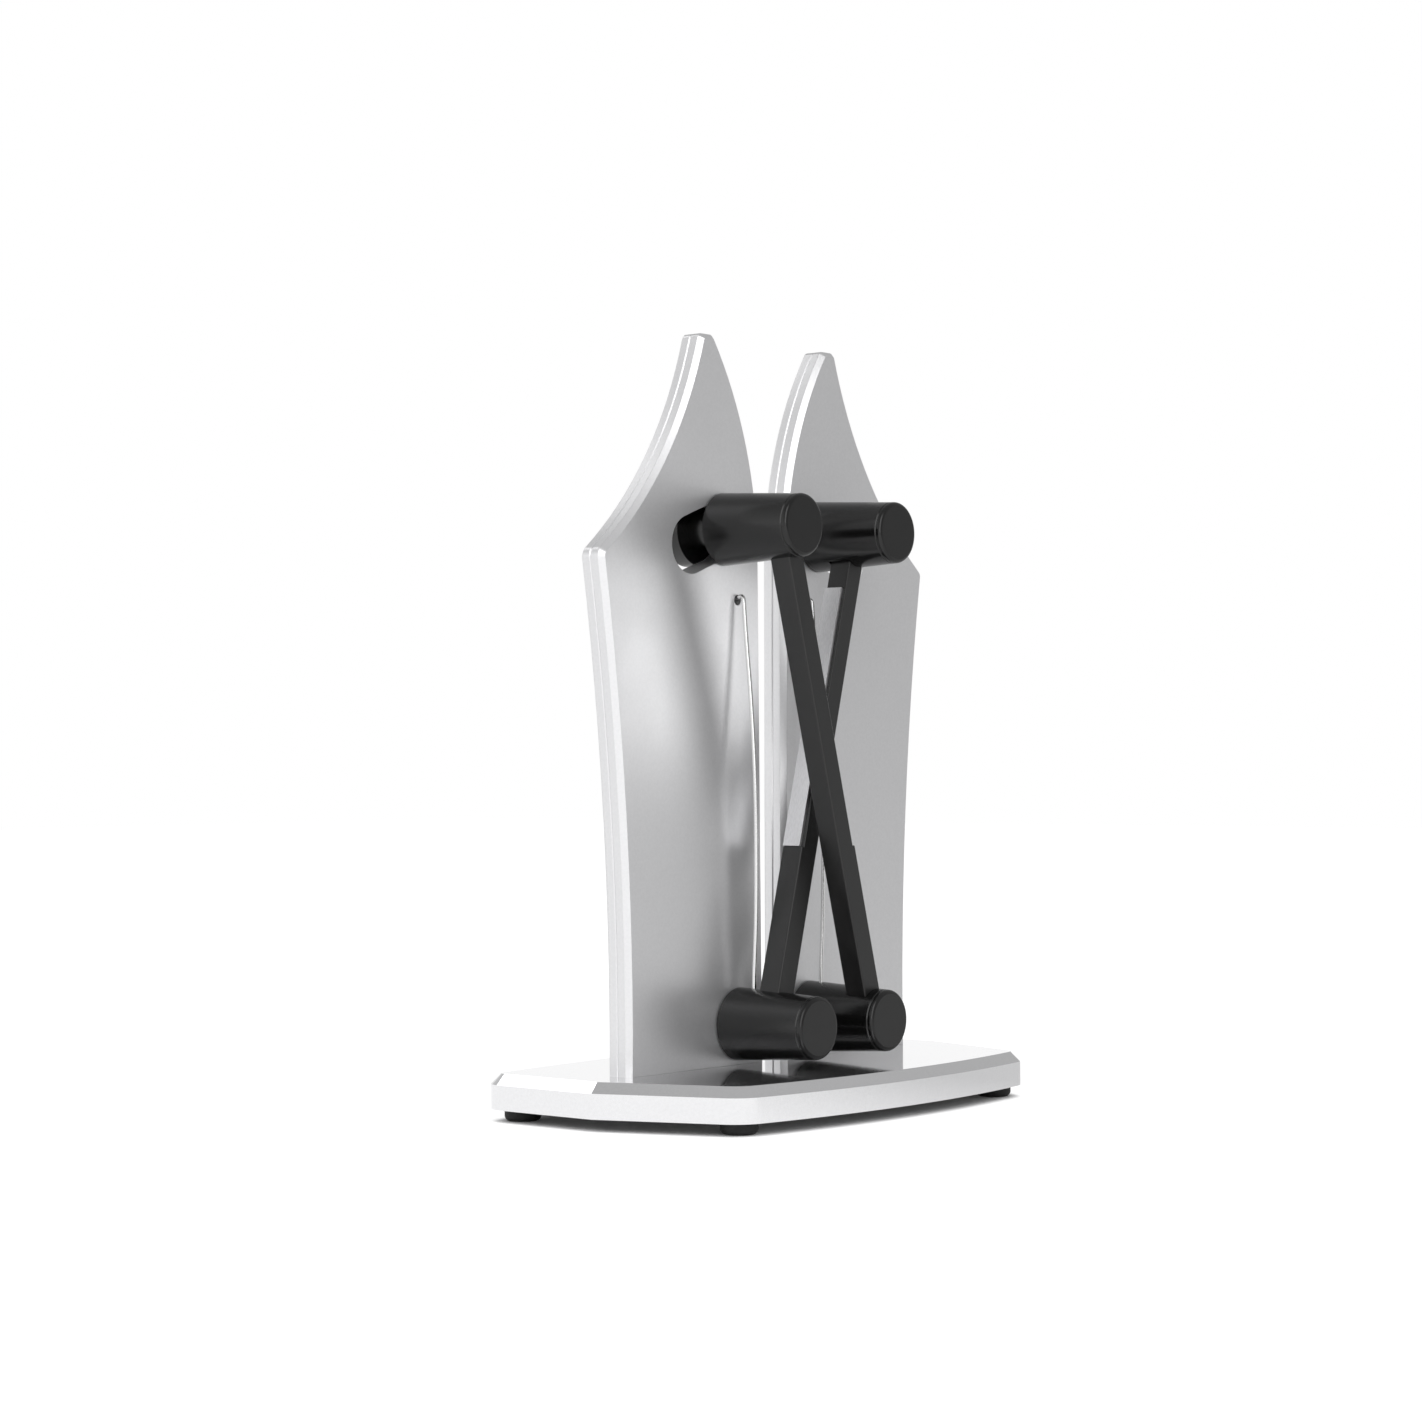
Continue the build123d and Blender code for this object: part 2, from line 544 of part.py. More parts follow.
def make_pivot_screw():
    """Screw in the front end of the pin."""
    head = rod(PIVOT_SCREW_HEAD_RADIUS, WASHER_FRONT, SCREW_HEAD_FRONT)
    shank = rod(PIVOT_SCREW_RADIUS, PIN_FRONT - PIVOT_SCREW_GRIP, WASHER_FRONT)
    return along_y(head + shank, -PIVOT_X, PIVOT_HEIGHT)


def wire_foot_x():
    """X of the left wire's foot, a little towards the knife slot from the pivot."""
    return WIRE_FOOT_OFFSET - PIVOT_X


def make_wire():
    """Bowed spring wire from the left hub's top to its hook through the fin."""
    foot_height = PIVOT_HEIGHT + BARREL_RADIUS - WIRE_FOOT_DEPTH + RUNNING_CLEARANCE
    foot_y = FIN_Y - BARREL_BACK - WIRE_FOOT_BACK
    span = WIRE_HOLE_HEIGHT - foot_height
    lean = -WIRE_HOLE_X - wire_foot_x()
    points = [(wire_foot_x(), foot_y, foot_height)]
    points.append((wire_foot_x(), foot_y, PIVOT_HEIGHT + BARREL_RADIUS + WIRE_FOOT_RISE))
    for up, out in WIRE_BOW_SHARES:
        points.append((wire_foot_x() + lean * up, FIN_Y - WIRE_BOW * out, foot_height + span * up))
    points.append((-WIRE_HOLE_X, FIN_Y - WIRE_HOOK_FRONT, WIRE_HOLE_HEIGHT))
    points.append((-WIRE_HOLE_X, FIN_Y + HALF_FIN + WIRE_HOOK_REACH, WIRE_HOLE_HEIGHT))
    radii = [WIRE_BOW_RADIUS] * (len(points) - 3) + [WIRE_BEND_RADIUS]
    path = FilletPolyline(*points, radius=radii)
    section = Plane(origin=path @ 0, z_dir=path % 0) * Circle(WIRE_RADIUS)
    return sweep(section, path=path)


def lever_nodes(name, arm_front, side):
    """Every piece of one lever and its pivot, on the left side or mirrored to the right."""
    cap = make_cap()
    x, z = knob_place()
    pieces = {
        "pivot_pin": make_pin(),
        "pivot_washer": make_washer(),
        "pivot_screw": make_pivot_screw(),
        "hub": make_hub(arm_front),
        "hub_cap": along_y(cap, -PIVOT_X, PIVOT_HEIGHT),
        "arm": make_arm(arm_front),
        "carbide_strip": make_strip(arm_front),
        "knob": make_knob(arm_front),
        "knob_cap": along_y(cap, x, z),
        "rear_cap": make_rear_cap(),
        "rear_cap_screw": make_cap_screw(),
        "spring_wire": make_wire(),
    }
    return {f"{name}_{part}": shape if side < 0 else mirrored(shape) for part, shape in pieces.items()}


def all_nodes():
    """Every node of the sharpener by name."""
    right_front = make_fin(True)
    right_rear = make_fin(False)
    nodes = {
        "base_shell": make_base_shell(),
        "base_plate": make_base_plate(),
        "base_screws": make_base_screws(),
        "fin_screws": make_fin_screws(),
        "right_fin_front": right_front,
        "right_fin_rear": right_rear,
        "left_fin_front": mirrored(right_front),
        "left_fin_rear": mirrored(right_rear),
        "fin_shell_screws": make_shell_screws(),
    }
    foot = make_foot()
    for name, (x, y) in foot_places().items():
        nodes[name] = Pos(x, y) * foot
    nodes.update(lever_nodes("inner", INNER_ARM_FRONT, -1))
    nodes.update(lever_nodes("outer", OUTER_ARM_FRONT, 1))
    return nodes


os.makedirs("parts", exist_ok=True)
for node_name, node_shape in all_nodes().items():
    export_step(node_shape, f"parts/{node_name}.step")
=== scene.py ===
"""Finishes, studio and camera of the spring-arm knife sharpener, and the pieces that are drawn here."""
from __future__ import annotations

import json
import logging
import math
from dataclasses import dataclass, field
from enum import Enum

import bmesh
import bpy
from mathutils import Matrix, Vector

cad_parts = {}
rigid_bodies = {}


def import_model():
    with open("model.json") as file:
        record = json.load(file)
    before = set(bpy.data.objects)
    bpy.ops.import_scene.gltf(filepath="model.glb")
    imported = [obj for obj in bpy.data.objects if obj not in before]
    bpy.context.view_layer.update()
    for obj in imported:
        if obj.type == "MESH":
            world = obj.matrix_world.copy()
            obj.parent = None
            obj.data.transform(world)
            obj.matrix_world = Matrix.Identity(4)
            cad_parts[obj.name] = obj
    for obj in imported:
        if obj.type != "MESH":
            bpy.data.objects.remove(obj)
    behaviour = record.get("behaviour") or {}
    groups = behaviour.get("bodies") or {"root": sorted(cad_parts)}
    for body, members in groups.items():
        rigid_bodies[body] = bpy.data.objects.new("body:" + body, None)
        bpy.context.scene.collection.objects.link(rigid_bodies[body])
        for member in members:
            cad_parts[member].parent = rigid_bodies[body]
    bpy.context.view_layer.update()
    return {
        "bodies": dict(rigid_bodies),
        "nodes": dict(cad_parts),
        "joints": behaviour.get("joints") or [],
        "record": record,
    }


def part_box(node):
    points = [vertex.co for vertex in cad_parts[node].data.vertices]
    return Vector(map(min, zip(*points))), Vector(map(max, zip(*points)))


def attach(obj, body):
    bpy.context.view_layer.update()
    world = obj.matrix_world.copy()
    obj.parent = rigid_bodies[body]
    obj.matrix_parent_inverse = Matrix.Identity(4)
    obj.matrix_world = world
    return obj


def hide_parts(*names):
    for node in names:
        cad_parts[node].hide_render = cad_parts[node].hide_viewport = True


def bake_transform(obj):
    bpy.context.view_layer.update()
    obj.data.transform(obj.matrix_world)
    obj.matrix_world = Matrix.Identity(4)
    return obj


LOG = logging.getLogger("sharpener")
MM = 0.001
WELD = 0.001 * MM
BASE_BODY = "base"
WHITE = (1.0, 1.0, 1.0, 1.0)
PATTERN_MIDDLE = (0.3, 0.7)
UPWARDS = Vector((0.0, 0.0, 1.0))
FORWARDS = Vector((0.0, -1.0, 0.0))

Triple = tuple[float, float, float]
Pair = tuple[float, float]


class Hand(Enum):
    """The two crossed levers, by how close each lies to the fins."""

    INNER = "inner"
    OUTER = "outer"

    @property
    def side(self) -> float:
        """Sign of X on the side where the lever's hub is."""
        return -1.0 if self is Hand.INNER else 1.0

    @property
    def body(self) -> str:
        """Name of the moving body."""
        return f"{self.value}_lever"

    def node(self, part: str) -> str:
        """Name of one of the lever's nodes.

        Args:
            part: The piece, such as "hub".

        Returns:
            The node's name in the frame.
        """
        return f"{self.value}_{part}"


class Along(Enum):
    """The axis that a row of edges is level on."""

    Y = 1
    Z = 2


class Wiring:
    """A node tree with short calls to add nodes and join them."""

    def __init__(self, tree: bpy.types.NodeTree) -> None:
        """Takes up a tree.

        Args:
            tree: The tree that nodes are added to.
        """
        self.tree = tree

    def add(self, kind: str, **values: object) -> bpy.types.Node:
        """Adds a node and sets its properties and unlinked inputs.

        Args:
            kind: The node's type.
            **values: Properties, or inputs by name with spaces as underscores.

        Returns:
            The new node.
        """
        node = self.tree.nodes.new(kind)
        for key, value in values.items():
            if hasattr(node, key):
                setattr(node, key, value)
            else:
                node.inputs[key.replace("_", " ")].default_value = value
        return node

    def join(self, source: bpy.types.NodeSocket, target: bpy.types.NodeSocket) -> None:
        """Links two sockets."""
        self.tree.links.new(source, target)

    def combined(
        self, operation: str, first: bpy.types.NodeSocket, second: bpy.types.NodeSocket,
    ) -> bpy.types.NodeSocket:
        """Works out one value from two.

        Args:
            operation: The Math node's operation.
            first: One value.
            second: The other value.

        Returns:
            The result.
        """
        node = self.add("ShaderNodeMath", operation=operation)
        self.join(first, node.inputs[0])
        self.join(second, node.inputs[1])
        return node.outputs[0]

    def ranged(self, value: bpy.types.NodeSocket, start: Pair, end: Pair) -> bpy.types.NodeSocket:
        """Maps a value from one range to another, and holds it at the ends.

        Args:
            value: The value.
            start: The range that it comes in.
            end: What the ends of that range become.

        Returns:
            The mapped value.
        """
        node = self.add(
            "ShaderNodeMapRange", From_Min=start[0], From_Max=start[1], To_Min=end[0], To_Max=end[1],
        )
        self.join(value, node.inputs["Value"])
        return node.outputs["Result"]

    def facing(self, direction: bpy.types.NodeSocket, axis: Triple | Vector) -> bpy.types.NodeSocket:
        """How far a direction points along an axis.

        Args:
            direction: The direction.
            axis: The axis.

        Returns:
            Their dot product.
        """
        node = self.add("ShaderNodeVectorMath", operation="DOT_PRODUCT")
        node.inputs[1].default_value = axis
        self.join(direction, node.inputs[0])
        return node.outputs["Value"]


class Bench(Wiring):
    """A new material with a bare Principled shader, and calls to lay patterns on it."""

    def __init__(self, name: str) -> None:
        """Starts the material.

        Args:
            name: The material's name.
        """
        self.material = bpy.data.materials.new(name)
        self.material.use_nodes = True
        super().__init__(self.material.node_tree)
        self.shader = self.tree.nodes["Principled BSDF"]
        self.place = self.add("ShaderNodeTexCoord").outputs["Object"]

    def constant(self, **values: object) -> None:
        """Sets the shader's own sockets, by name with spaces as underscores."""
        for key, value in values.items():
            self.shader.inputs[key.replace("_", " ")].default_value = value

    def stretched(self, scale: Triple) -> bpy.types.NodeSocket:
        """Object coordinates with a scale per axis.

        Args:
            scale: Factor along X, Y and Z.

        Returns:
            The stretched coordinates.
        """
        mapping = self.add("ShaderNodeMapping", Scale=scale)
        self.join(self.place, mapping.inputs["Vector"])
        return mapping.outputs["Vector"]

    def noise(self, place: bpy.types.NodeSocket, scale: float, detail: float) -> bpy.types.NodeSocket:
        """A noise pattern.

        Args:
            place: Coordinates to read.
            scale: Waves per metre, about.
            detail: Octaves.

        Returns:
            The pattern's value, about zero to one.
        """
        node = self.add("ShaderNodeTexNoise", Scale=scale, Detail=detail)
        self.join(place, node.inputs["Vector"])
        return node.outputs["Fac"]

    def rough(self, pattern: bpy.types.NodeSocket, shine: float, dull: float) -> None:
        """Lets a pattern set the roughness.

        Args:
            pattern: The pattern.
            shine: Roughness where it is low.
            dull: Roughness where it is high.
        """
        self.join(self.ranged(pattern, PATTERN_MIDDLE, (shine, dull)), self.shader.inputs["Roughness"])

    def toned(self, pattern: bpy.types.NodeSocket, color: Triple, dark: float) -> None:
        """Lets a pattern set the colour.

        Args:
            pattern: The pattern.
            color: Colour where it is high.
            dark: Share of that colour where it is low.
        """
        ramp = self.add("ShaderNodeValToRGB")
        tones = (tuple(channel * dark for channel in color), color)
        for stop, position, tone in zip(ramp.color_ramp.elements, PATTERN_MIDDLE, tones):
            stop.position = position
            stop.color = (*tone, 1.0)
        self.join(pattern, ramp.inputs["Fac"])
        self.join(ramp.outputs["Color"], self.shader.inputs["Base Color"])

    def bumped(self, pattern: bpy.types.NodeSocket, depth: float, strength: float = 1.0) -> None:
        """Raises the surface by a pattern.

        Args:
            pattern: The pattern.
            depth: Height of the relief in metres.
            strength: Share of the relief that shows.
        """
        bump = self.add("ShaderNodeBump", Distance=depth, Strength=strength)
        self.join(pattern, bump.inputs["Height"])
        self.join(bump.outputs["Normal"], self.shader.inputs["Normal"])


@dataclass(frozen=True)
class MetalLacquer:
    """Silver metallic lacquer with fine flake, on a moulding that ripples a little."""

    name: str
    color: Triple
    dull: float
    shine: float
    metallic: float
    flake_scale: float = 1400.0
    flake_detail: float = 2.0
    flake_dark: float = 0.96
    ripple_scale: float = 55.0
    ripple_detail: float = 3.0
    ripple_depth: float = 0.004 * MM

    def make(self) -> bpy.types.Material:
        """Builds the material."""
        bench = Bench(self.name)
        bench.constant(Metallic=self.metallic)
        flake = bench.noise(bench.place, self.flake_scale, self.flake_detail)
        bench.toned(flake, self.color, self.flake_dark)
        ripple = bench.noise(bench.place, self.ripple_scale, self.ripple_detail)
        bench.rough(ripple, self.shine, self.dull)
        bench.bumped(ripple, self.ripple_depth)
        return bench.material


@dataclass(frozen=True)
class Moulding:
    """Black plastic with a fine skin, drawn out along the way that the piece left its mould."""

    name: str
    color: Triple
    dull: float
    shine: float
    streak: Triple = (1.0, 1.0, 1.0)
    specular: float = 0.5
    cloud_scale: float = 90.0
    cloud_detail: float = 4.0
    cloud_dark: float = 0.75
    grain_scale: float = 900.0
    grain_detail: float = 3.0
    grain_depth: float = 0.004 * MM
    grain_share: float = 0.6

    def make(self) -> bpy.types.Material:
        """Builds the material."""
        bench = Bench(self.name)
        bench.constant(Specular_IOR_Level=self.specular)
        cloud = bench.noise(bench.stretched(self.streak), self.cloud_scale, self.cloud_detail)
        bench.toned(cloud, self.color, self.cloud_dark)
        bench.rough(cloud, self.shine, self.dull)
        grain = bench.noise(bench.place, self.grain_scale, self.grain_detail)
        bench.bumped(grain, self.grain_depth, self.grain_share)
        return bench.material


@dataclass(frozen=True)
class GroundMetal:
    """Bare metal with fine lines left by grinding or drawing."""

    name: str
    color: Triple
    dull: float
    shine: float
    line_stretch: Triple = (4.0, 4.0, 0.15)
    line_depth: float = 0.004 * MM
    line_scale: float = 800.0
    line_detail: float = 4.0
    line_dark: float = 0.85

    def make(self) -> bpy.types.Material:
        """Builds the material."""
        bench = Bench(self.name)
        bench.constant(Metallic=1.0)
        lines = bench.noise(bench.stretched(self.line_stretch), self.line_scale, self.line_detail)
        bench.toned(lines, self.color, self.line_dark)
        bench.rough(lines, self.shine, self.dull)
        bench.bumped(lines, self.line_depth)
        return bench.material


@dataclass(frozen=True)
class Finishes:
    """Every finish of the sharpener, made once."""

    fin: MetalLacquer = MetalLacquer(
        "fin_silver", (0.75, 0.75, 0.76), dull=0.38, shine=0.33, metallic=0.75,
    )
    base: MetalLacquer = MetalLacquer(
        "base_silver", (0.78, 0.78, 0.79), dull=0.09, shine=0.06, metallic=0.9,
    )
    barrel: Moulding = Moulding(
        "moulded_black", (0.006, 0.006, 0.006), dull=0.25, shine=0.18, streak=(1.0, 0.3, 1.0), specular=0.42,
    )
    arm: Moulding = Moulding(
        "arm_black", (0.012, 0.012, 0.012), dull=0.44, shine=0.34, streak=(3.0, 3.0, 0.6),
    )
    underside: Moulding = Moulding("underside_black", (0.02, 0.02, 0.024), dull=0.6, shine=0.5)
    rubber: Moulding = Moulding("foot_rubber", (0.014, 0.014, 0.014), dull=0.85, shine=0.7)
    strip: GroundMetal = GroundMetal("carbide", (0.72, 0.72, 0.73), dull=0.44, shine=0.34)
    wire: GroundMetal = GroundMetal(
        "spring_steel", (0.78, 0.78, 0.78), dull=0.22, shine=0.18,
        line_stretch=(0.5, 0.5, 0.005), line_depth=0.0003 * MM,
    )
    fastener: GroundMetal = GroundMetal("fastener_steel", (0.6, 0.6, 0.6), dull=0.35, shine=0.25)

    def by_slot(self) -> dict[str, bpy.types.Material]:
        """Material of each slot of the record."""
        finishes = (
            self.fin, self.base, self.barrel, self.arm, self.underside,
            self.rubber, self.strip, self.wire, self.fastener,
        )
        return {finish.name: finish.make() for finish in finishes}


@dataclass
class Workshop:
    """The loaded frame and the materials, with the steps that every piece goes through."""

    frame: dict
    materials: dict[str, bpy.types.Material]
    slots: dict[str, str] = field(init=False)

    def __post_init__(self) -> None:
        """Reads which slot each node takes its finish from."""
        subparts = self.frame["record"]["subparts"]
        self.slots = {entry["node"]: entry["material_slot"] for entry in subparts}

    def dress(self, node: str) -> None:
        """Gives a CAD node the finish of its slot.

        Args:
            node: The node's name.
        """
        mesh = self.frame["nodes"][node].data
        mesh.materials.clear()
        mesh.materials.append(self.materials[self.slots[node]])
        LOG.info("%s wears %s", node, self.slots[node])

    def welded(self, node: str) -> bmesh.types.BMesh:
        """A copy of a node's mesh with its loose triangles joined.

        Args:
            node: The node's name.

        Returns:
            The copy, for the caller to free.
        """
        drawing = bmesh.new()
        drawing.from_mesh(self.frame["nodes"][node].data)
        bmesh.ops.remove_doubles(drawing, verts=drawing.verts[:], dist=WELD)
        return drawing

    def piece(
        self, name: str, drawing: bmesh.types.BMesh, slot: str, smooth: float = 30.0,
    ) -> bpy.types.Object:
        """Makes an object of a finished drawing.

        Args:
            name: The piece's name.
            drawing: Its mesh, which is freed.
            slot: The record's slot that it takes its finish from.
            smooth: Edges sharper than this, in degrees, stay crisp.

        Returns:
            The object, linked to the scene.
        """
        mesh = bpy.data.meshes.new(name)
        drawing.to_mesh(mesh)
        drawing.free()
        mesh.shade_smooth()
        mesh.set_sharp_from_angle(angle=math.radians(smooth))
        mesh.materials.append(self.materials[slot])
        made = bpy.data.objects.new(name, mesh)
        bpy.context.scene.collection.objects.link(made)
        return made

    def islands(self, node: str) -> list[tuple[Vector, Vector]]:
        """Lowest and highest corner of each separate solid of a node.

        Args:
            node: The node's name.

        Returns:
            One pair of corners for each solid, from the lowest X up and then the lowest Y.
        """
        drawing = self.welded(node)
        left = set(drawing.verts)
        found = []
        while left:
            group, rim = set(), {left.pop()}
            while rim:
                group |= rim
                rim = {link.other_vert(vert) for vert in rim for link in vert.link_edges} - group
            left -= group
            places = [vert.co for vert in group]
            low = Vector([min(place[axis] for place in places) for axis in range(3)])
            high = Vector([max(place[axis] for place in places) for axis in range(3)])
            found.append((low, high))
        drawing.free()
        return sorted(found, key=lambda corner: [round(value / MM, 1) for value in corner[0]])


@dataclass
class SoftEdges:
    """Stands a copy of a rigid node in its place, with its sharp outer edges slightly rounded."""

    node: str
    body: str
    width: float
    along: Along
    levels: tuple[float, ...] = ()
    segments: int = 3
    sharp: float = 25.0
    flat: float = 0.15
    near: float = 0.02 * MM
    evenness: int = 50

    def chosen(self, edge: bmesh.types.BMEdge) -> bool:
        """Whether an edge is sharp, and level with one of the heights or, without any, convex.

        Args:
            edge: The edge.

        Returns:
            Whether to round it.
        """
        if not edge.is_manifold or math.degrees(edge.calc_face_angle(0.0)) < self.sharp:
            return False
        if not self.levels:
            return edge.is_convex
        ends = [vert.co[self.along.value] for vert in edge.verts]
        return any(all(abs(end - level) < self.near for end in ends) for level in self.levels)

    def build(self, shop: Workshop) -> bpy.types.Object:
        """Makes the piece.

        Args:
            shop: The frame and its materials.

        Returns:
            The piece that replaces the node.
        """
        drawing = shop.welded(self.node)
        bmesh.ops.dissolve_limit(
            drawing, angle_limit=math.radians(self.flat), verts=drawing.verts[:], edges=drawing.edges[:],
        )
        edges = [edge for edge in drawing.edges if self.chosen(edge)]
        bmesh.ops.bevel(
            drawing, geom=edges, offset=self.width, offset_type="OFFSET", segments=self.segments,
            profile=0.5, affect="EDGES", clamp_overlap=True, material=-1,
        )
        made = shop.piece(f"{self.node}_skin", drawing, shop.slots[self.node])
        weighted = made.modifiers.new("even_shading", "WEIGHTED_NORMAL")
        weighted.keep_sharp = True
        weighted.weight = self.evenness
        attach(made, self.body)
        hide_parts(self.node)
        LOG.info("%s stands for %s, with %d edges rounded", made.name, self.node, len(edges))
        return made


@dataclass
class PanScrew:
    """Screw head with a rounded rim and a cross recess, on a plain shank."""

    head_radius: float
    head_height: float
    shank_radius: float
    length: float
    rim: float = 0.35 * MM
    steps: int = 32
    wing: float = 0.62
    wing_width: float = 0.2
    wing_taper: Pair = (0.7, 0.8)
    recess_depth: float = 0.7

    def body(self) -> bmesh.types.BMesh:
        """Turned screw with its head's top at zero and its shank along +Z."""
        drawing = bmesh.new()
        outline = (
            (0.0, 0.0), (self.head_radius - self.rim, 0.0), (self.head_radius, self.rim),
            (self.head_radius, self.head_height), (self.shank_radius, self.head_height),
            (self.shank_radius, self.length), (0.0, self.length),
        )
        verts = [drawing.verts.new((radius, 0.0, height)) for radius, height in outline]
        edges = [drawing.edges.new(pair) for pair in zip(verts, verts[1:])]
        bmesh.ops.spin(
            drawing, geom=verts + edges, cent=(0, 0, 0), axis=(0, 0, 1), angle=math.tau,
            steps=self.steps, use_merge=True, use_duplicate=False,
        )
        bmesh.ops.remove_doubles(drawing, verts=drawing.verts[:], dist=WELD)
        bmesh.ops.recalc_face_normals(drawing, faces=drawing.faces[:])
        return drawing

    def recess(self) -> bmesh.types.BMesh:
        """The cross that is sunk into the head, narrower at its bottom."""
        drawing = bmesh.new()
        reach = self.head_radius * self.wing
        width = self.head_radius * self.wing_width
        depth = self.head_height * self.recess_depth
        for turn in (0.0, math.pi / 2):
            made = bmesh.ops.create_cube(drawing, size=2.0)["verts"]
            bmesh.ops.scale(drawing, verts=made, vec=(reach, width, depth))
            bottom = [vert for vert in made if vert.co.z > 0]
            bmesh.ops.scale(drawing, verts=bottom, vec=(*self.wing_taper, 1.0))
            bmesh.ops.rotate(drawing, verts=made, matrix=Matrix.Rotation(turn, 3, "Z"))
        return drawing

    def cut(self) -> bmesh.types.BMesh:
        """The screw with its recess cut."""
        holders = []
        for name, drawing in (("screw_blank", self.body()), ("screw_recess", self.recess())):
            mesh = bpy.data.meshes.new(name)
            drawing.to_mesh(mesh)
            drawing.free()
            holders.append(bpy.data.objects.new(name, mesh))
            bpy.context.scene.collection.objects.link(holders[-1])
        blank, cutter = holders
        boolean = blank.modifiers.new("recess", "BOOLEAN")
        boolean.object = cutter
        boolean.solver = "EXACT"
        boolean.use_self = True
        bpy.context.view_layer.update()
        result = bmesh.new()
        result.from_mesh(blank.evaluated_get(bpy.context.evaluated_depsgraph_get()).to_mesh())
        for holder in holders:
            mesh = holder.data
            bpy.data.objects.remove(holder)
            bpy.data.meshes.remove(mesh)
        return result


@dataclass
class ScrewSet:
    """All the screws of one node, each put where the frame has it."""

    node: str
    body: str
    head_radius: float
    head_height: float
    into: Vector
    shank_share: float = 0.5
    turn_between: float = 0.7

    def build(self, shop: Workshop) -> bpy.types.Object:
        """Makes the set, each screw turned a little further than the last.

        Args:
            shop: The frame and its materials.

        Returns:
            The piece that replaces the node.
        """
        drawing = bmesh.new()
        axis = max(range(3), key=lambda index: abs(self.into[index]))
        for number, (low, high) in enumerate(shop.islands(self.node)):
            length = high[axis] - low[axis]
            top = (low + high) / 2
            top[axis] = low[axis] if self.into[axis] > 0 else high[axis]
            shank_radius = self.head_radius * self.shank_share
            one = PanScrew(self.head_radius, self.head_height, shank_radius, length).cut()
            spin = Matrix.Rotation(self.turn_between * number, 4, "Z")
            turn = self.into.to_track_quat("Z", "Y").to_matrix().to_4x4()
            bmesh.ops.transform(one, matrix=Matrix.Translation(top) @ turn @ spin, verts=one.verts[:])
            mesh = bpy.data.meshes.new("one_screw")
            one.to_mesh(mesh)
            one.free()
            drawing.from_mesh(mesh)
            bpy.data.meshes.remove(mesh)
        made = shop.piece(f"{self.node}_cut", drawing, shop.slots[self.node])
        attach(made, self.body)
        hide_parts(self.node)
        LOG.info("%s stands for %s", made.name, self.node)
        return made


@dataclass
class BaseUnit:
    """Bevelled silver cover on a dark plate with four rubber feet."""

    rounding: float = 0.5 * MM
    bevel_height: float = 2.7 * MM
    screw_head: Pair = (2.4 * MM, 1.1 * MM)
    plain: tuple[str, ...] = (
        "base_plate", "front_left_foot", "front_right_foot", "rear_left_foot", "rear_right_foot",
        "fin_screws",
    )

    def build(self, shop: Workshop) -> None:
        """Makes the base's cover and screws and dresses its other nodes.

        Args:
            shop: The frame and its materials.
        """
        low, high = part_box("base_shell")
        levels = (low.z, high.z - self.bevel_height, high.z)
        SoftEdges("base_shell", BASE_BODY, self.rounding, Along.Z, levels).build(shop)
        ScrewSet("base_screws", BASE_BODY, *self.screw_head, UPWARDS).build(shop)
        for node in self.plain:
            shop.dress(node)


@dataclass
class FinPair:
    """Two tall silver fins, each of a front and a rear shell."""

    rounding: float = 0.3 * MM
    chamfer: float = 1.4 * MM
    screw_head: Pair = (2.0 * MM, 1.2 * MM)

    def build(self, shop: Workshop) -> None:
        """Makes the four shells and their screws.

        Args:
            shop: The frame and its materials.
        """
        for side in ("left", "right"):
            front, rear = f"{side}_fin_front", f"{side}_fin_rear"
            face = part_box(front)[0].y
            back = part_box(rear)[1].y
            for node, levels in ((front, (face, face + self.chamfer)), (rear, (back, back - self.chamfer))):
                SoftEdges(node, BASE_BODY, self.rounding, Along.Y, levels).build(shop)
        ScrewSet("fin_shell_screws", BASE_BODY, *self.screw_head, FORWARDS).build(shop)


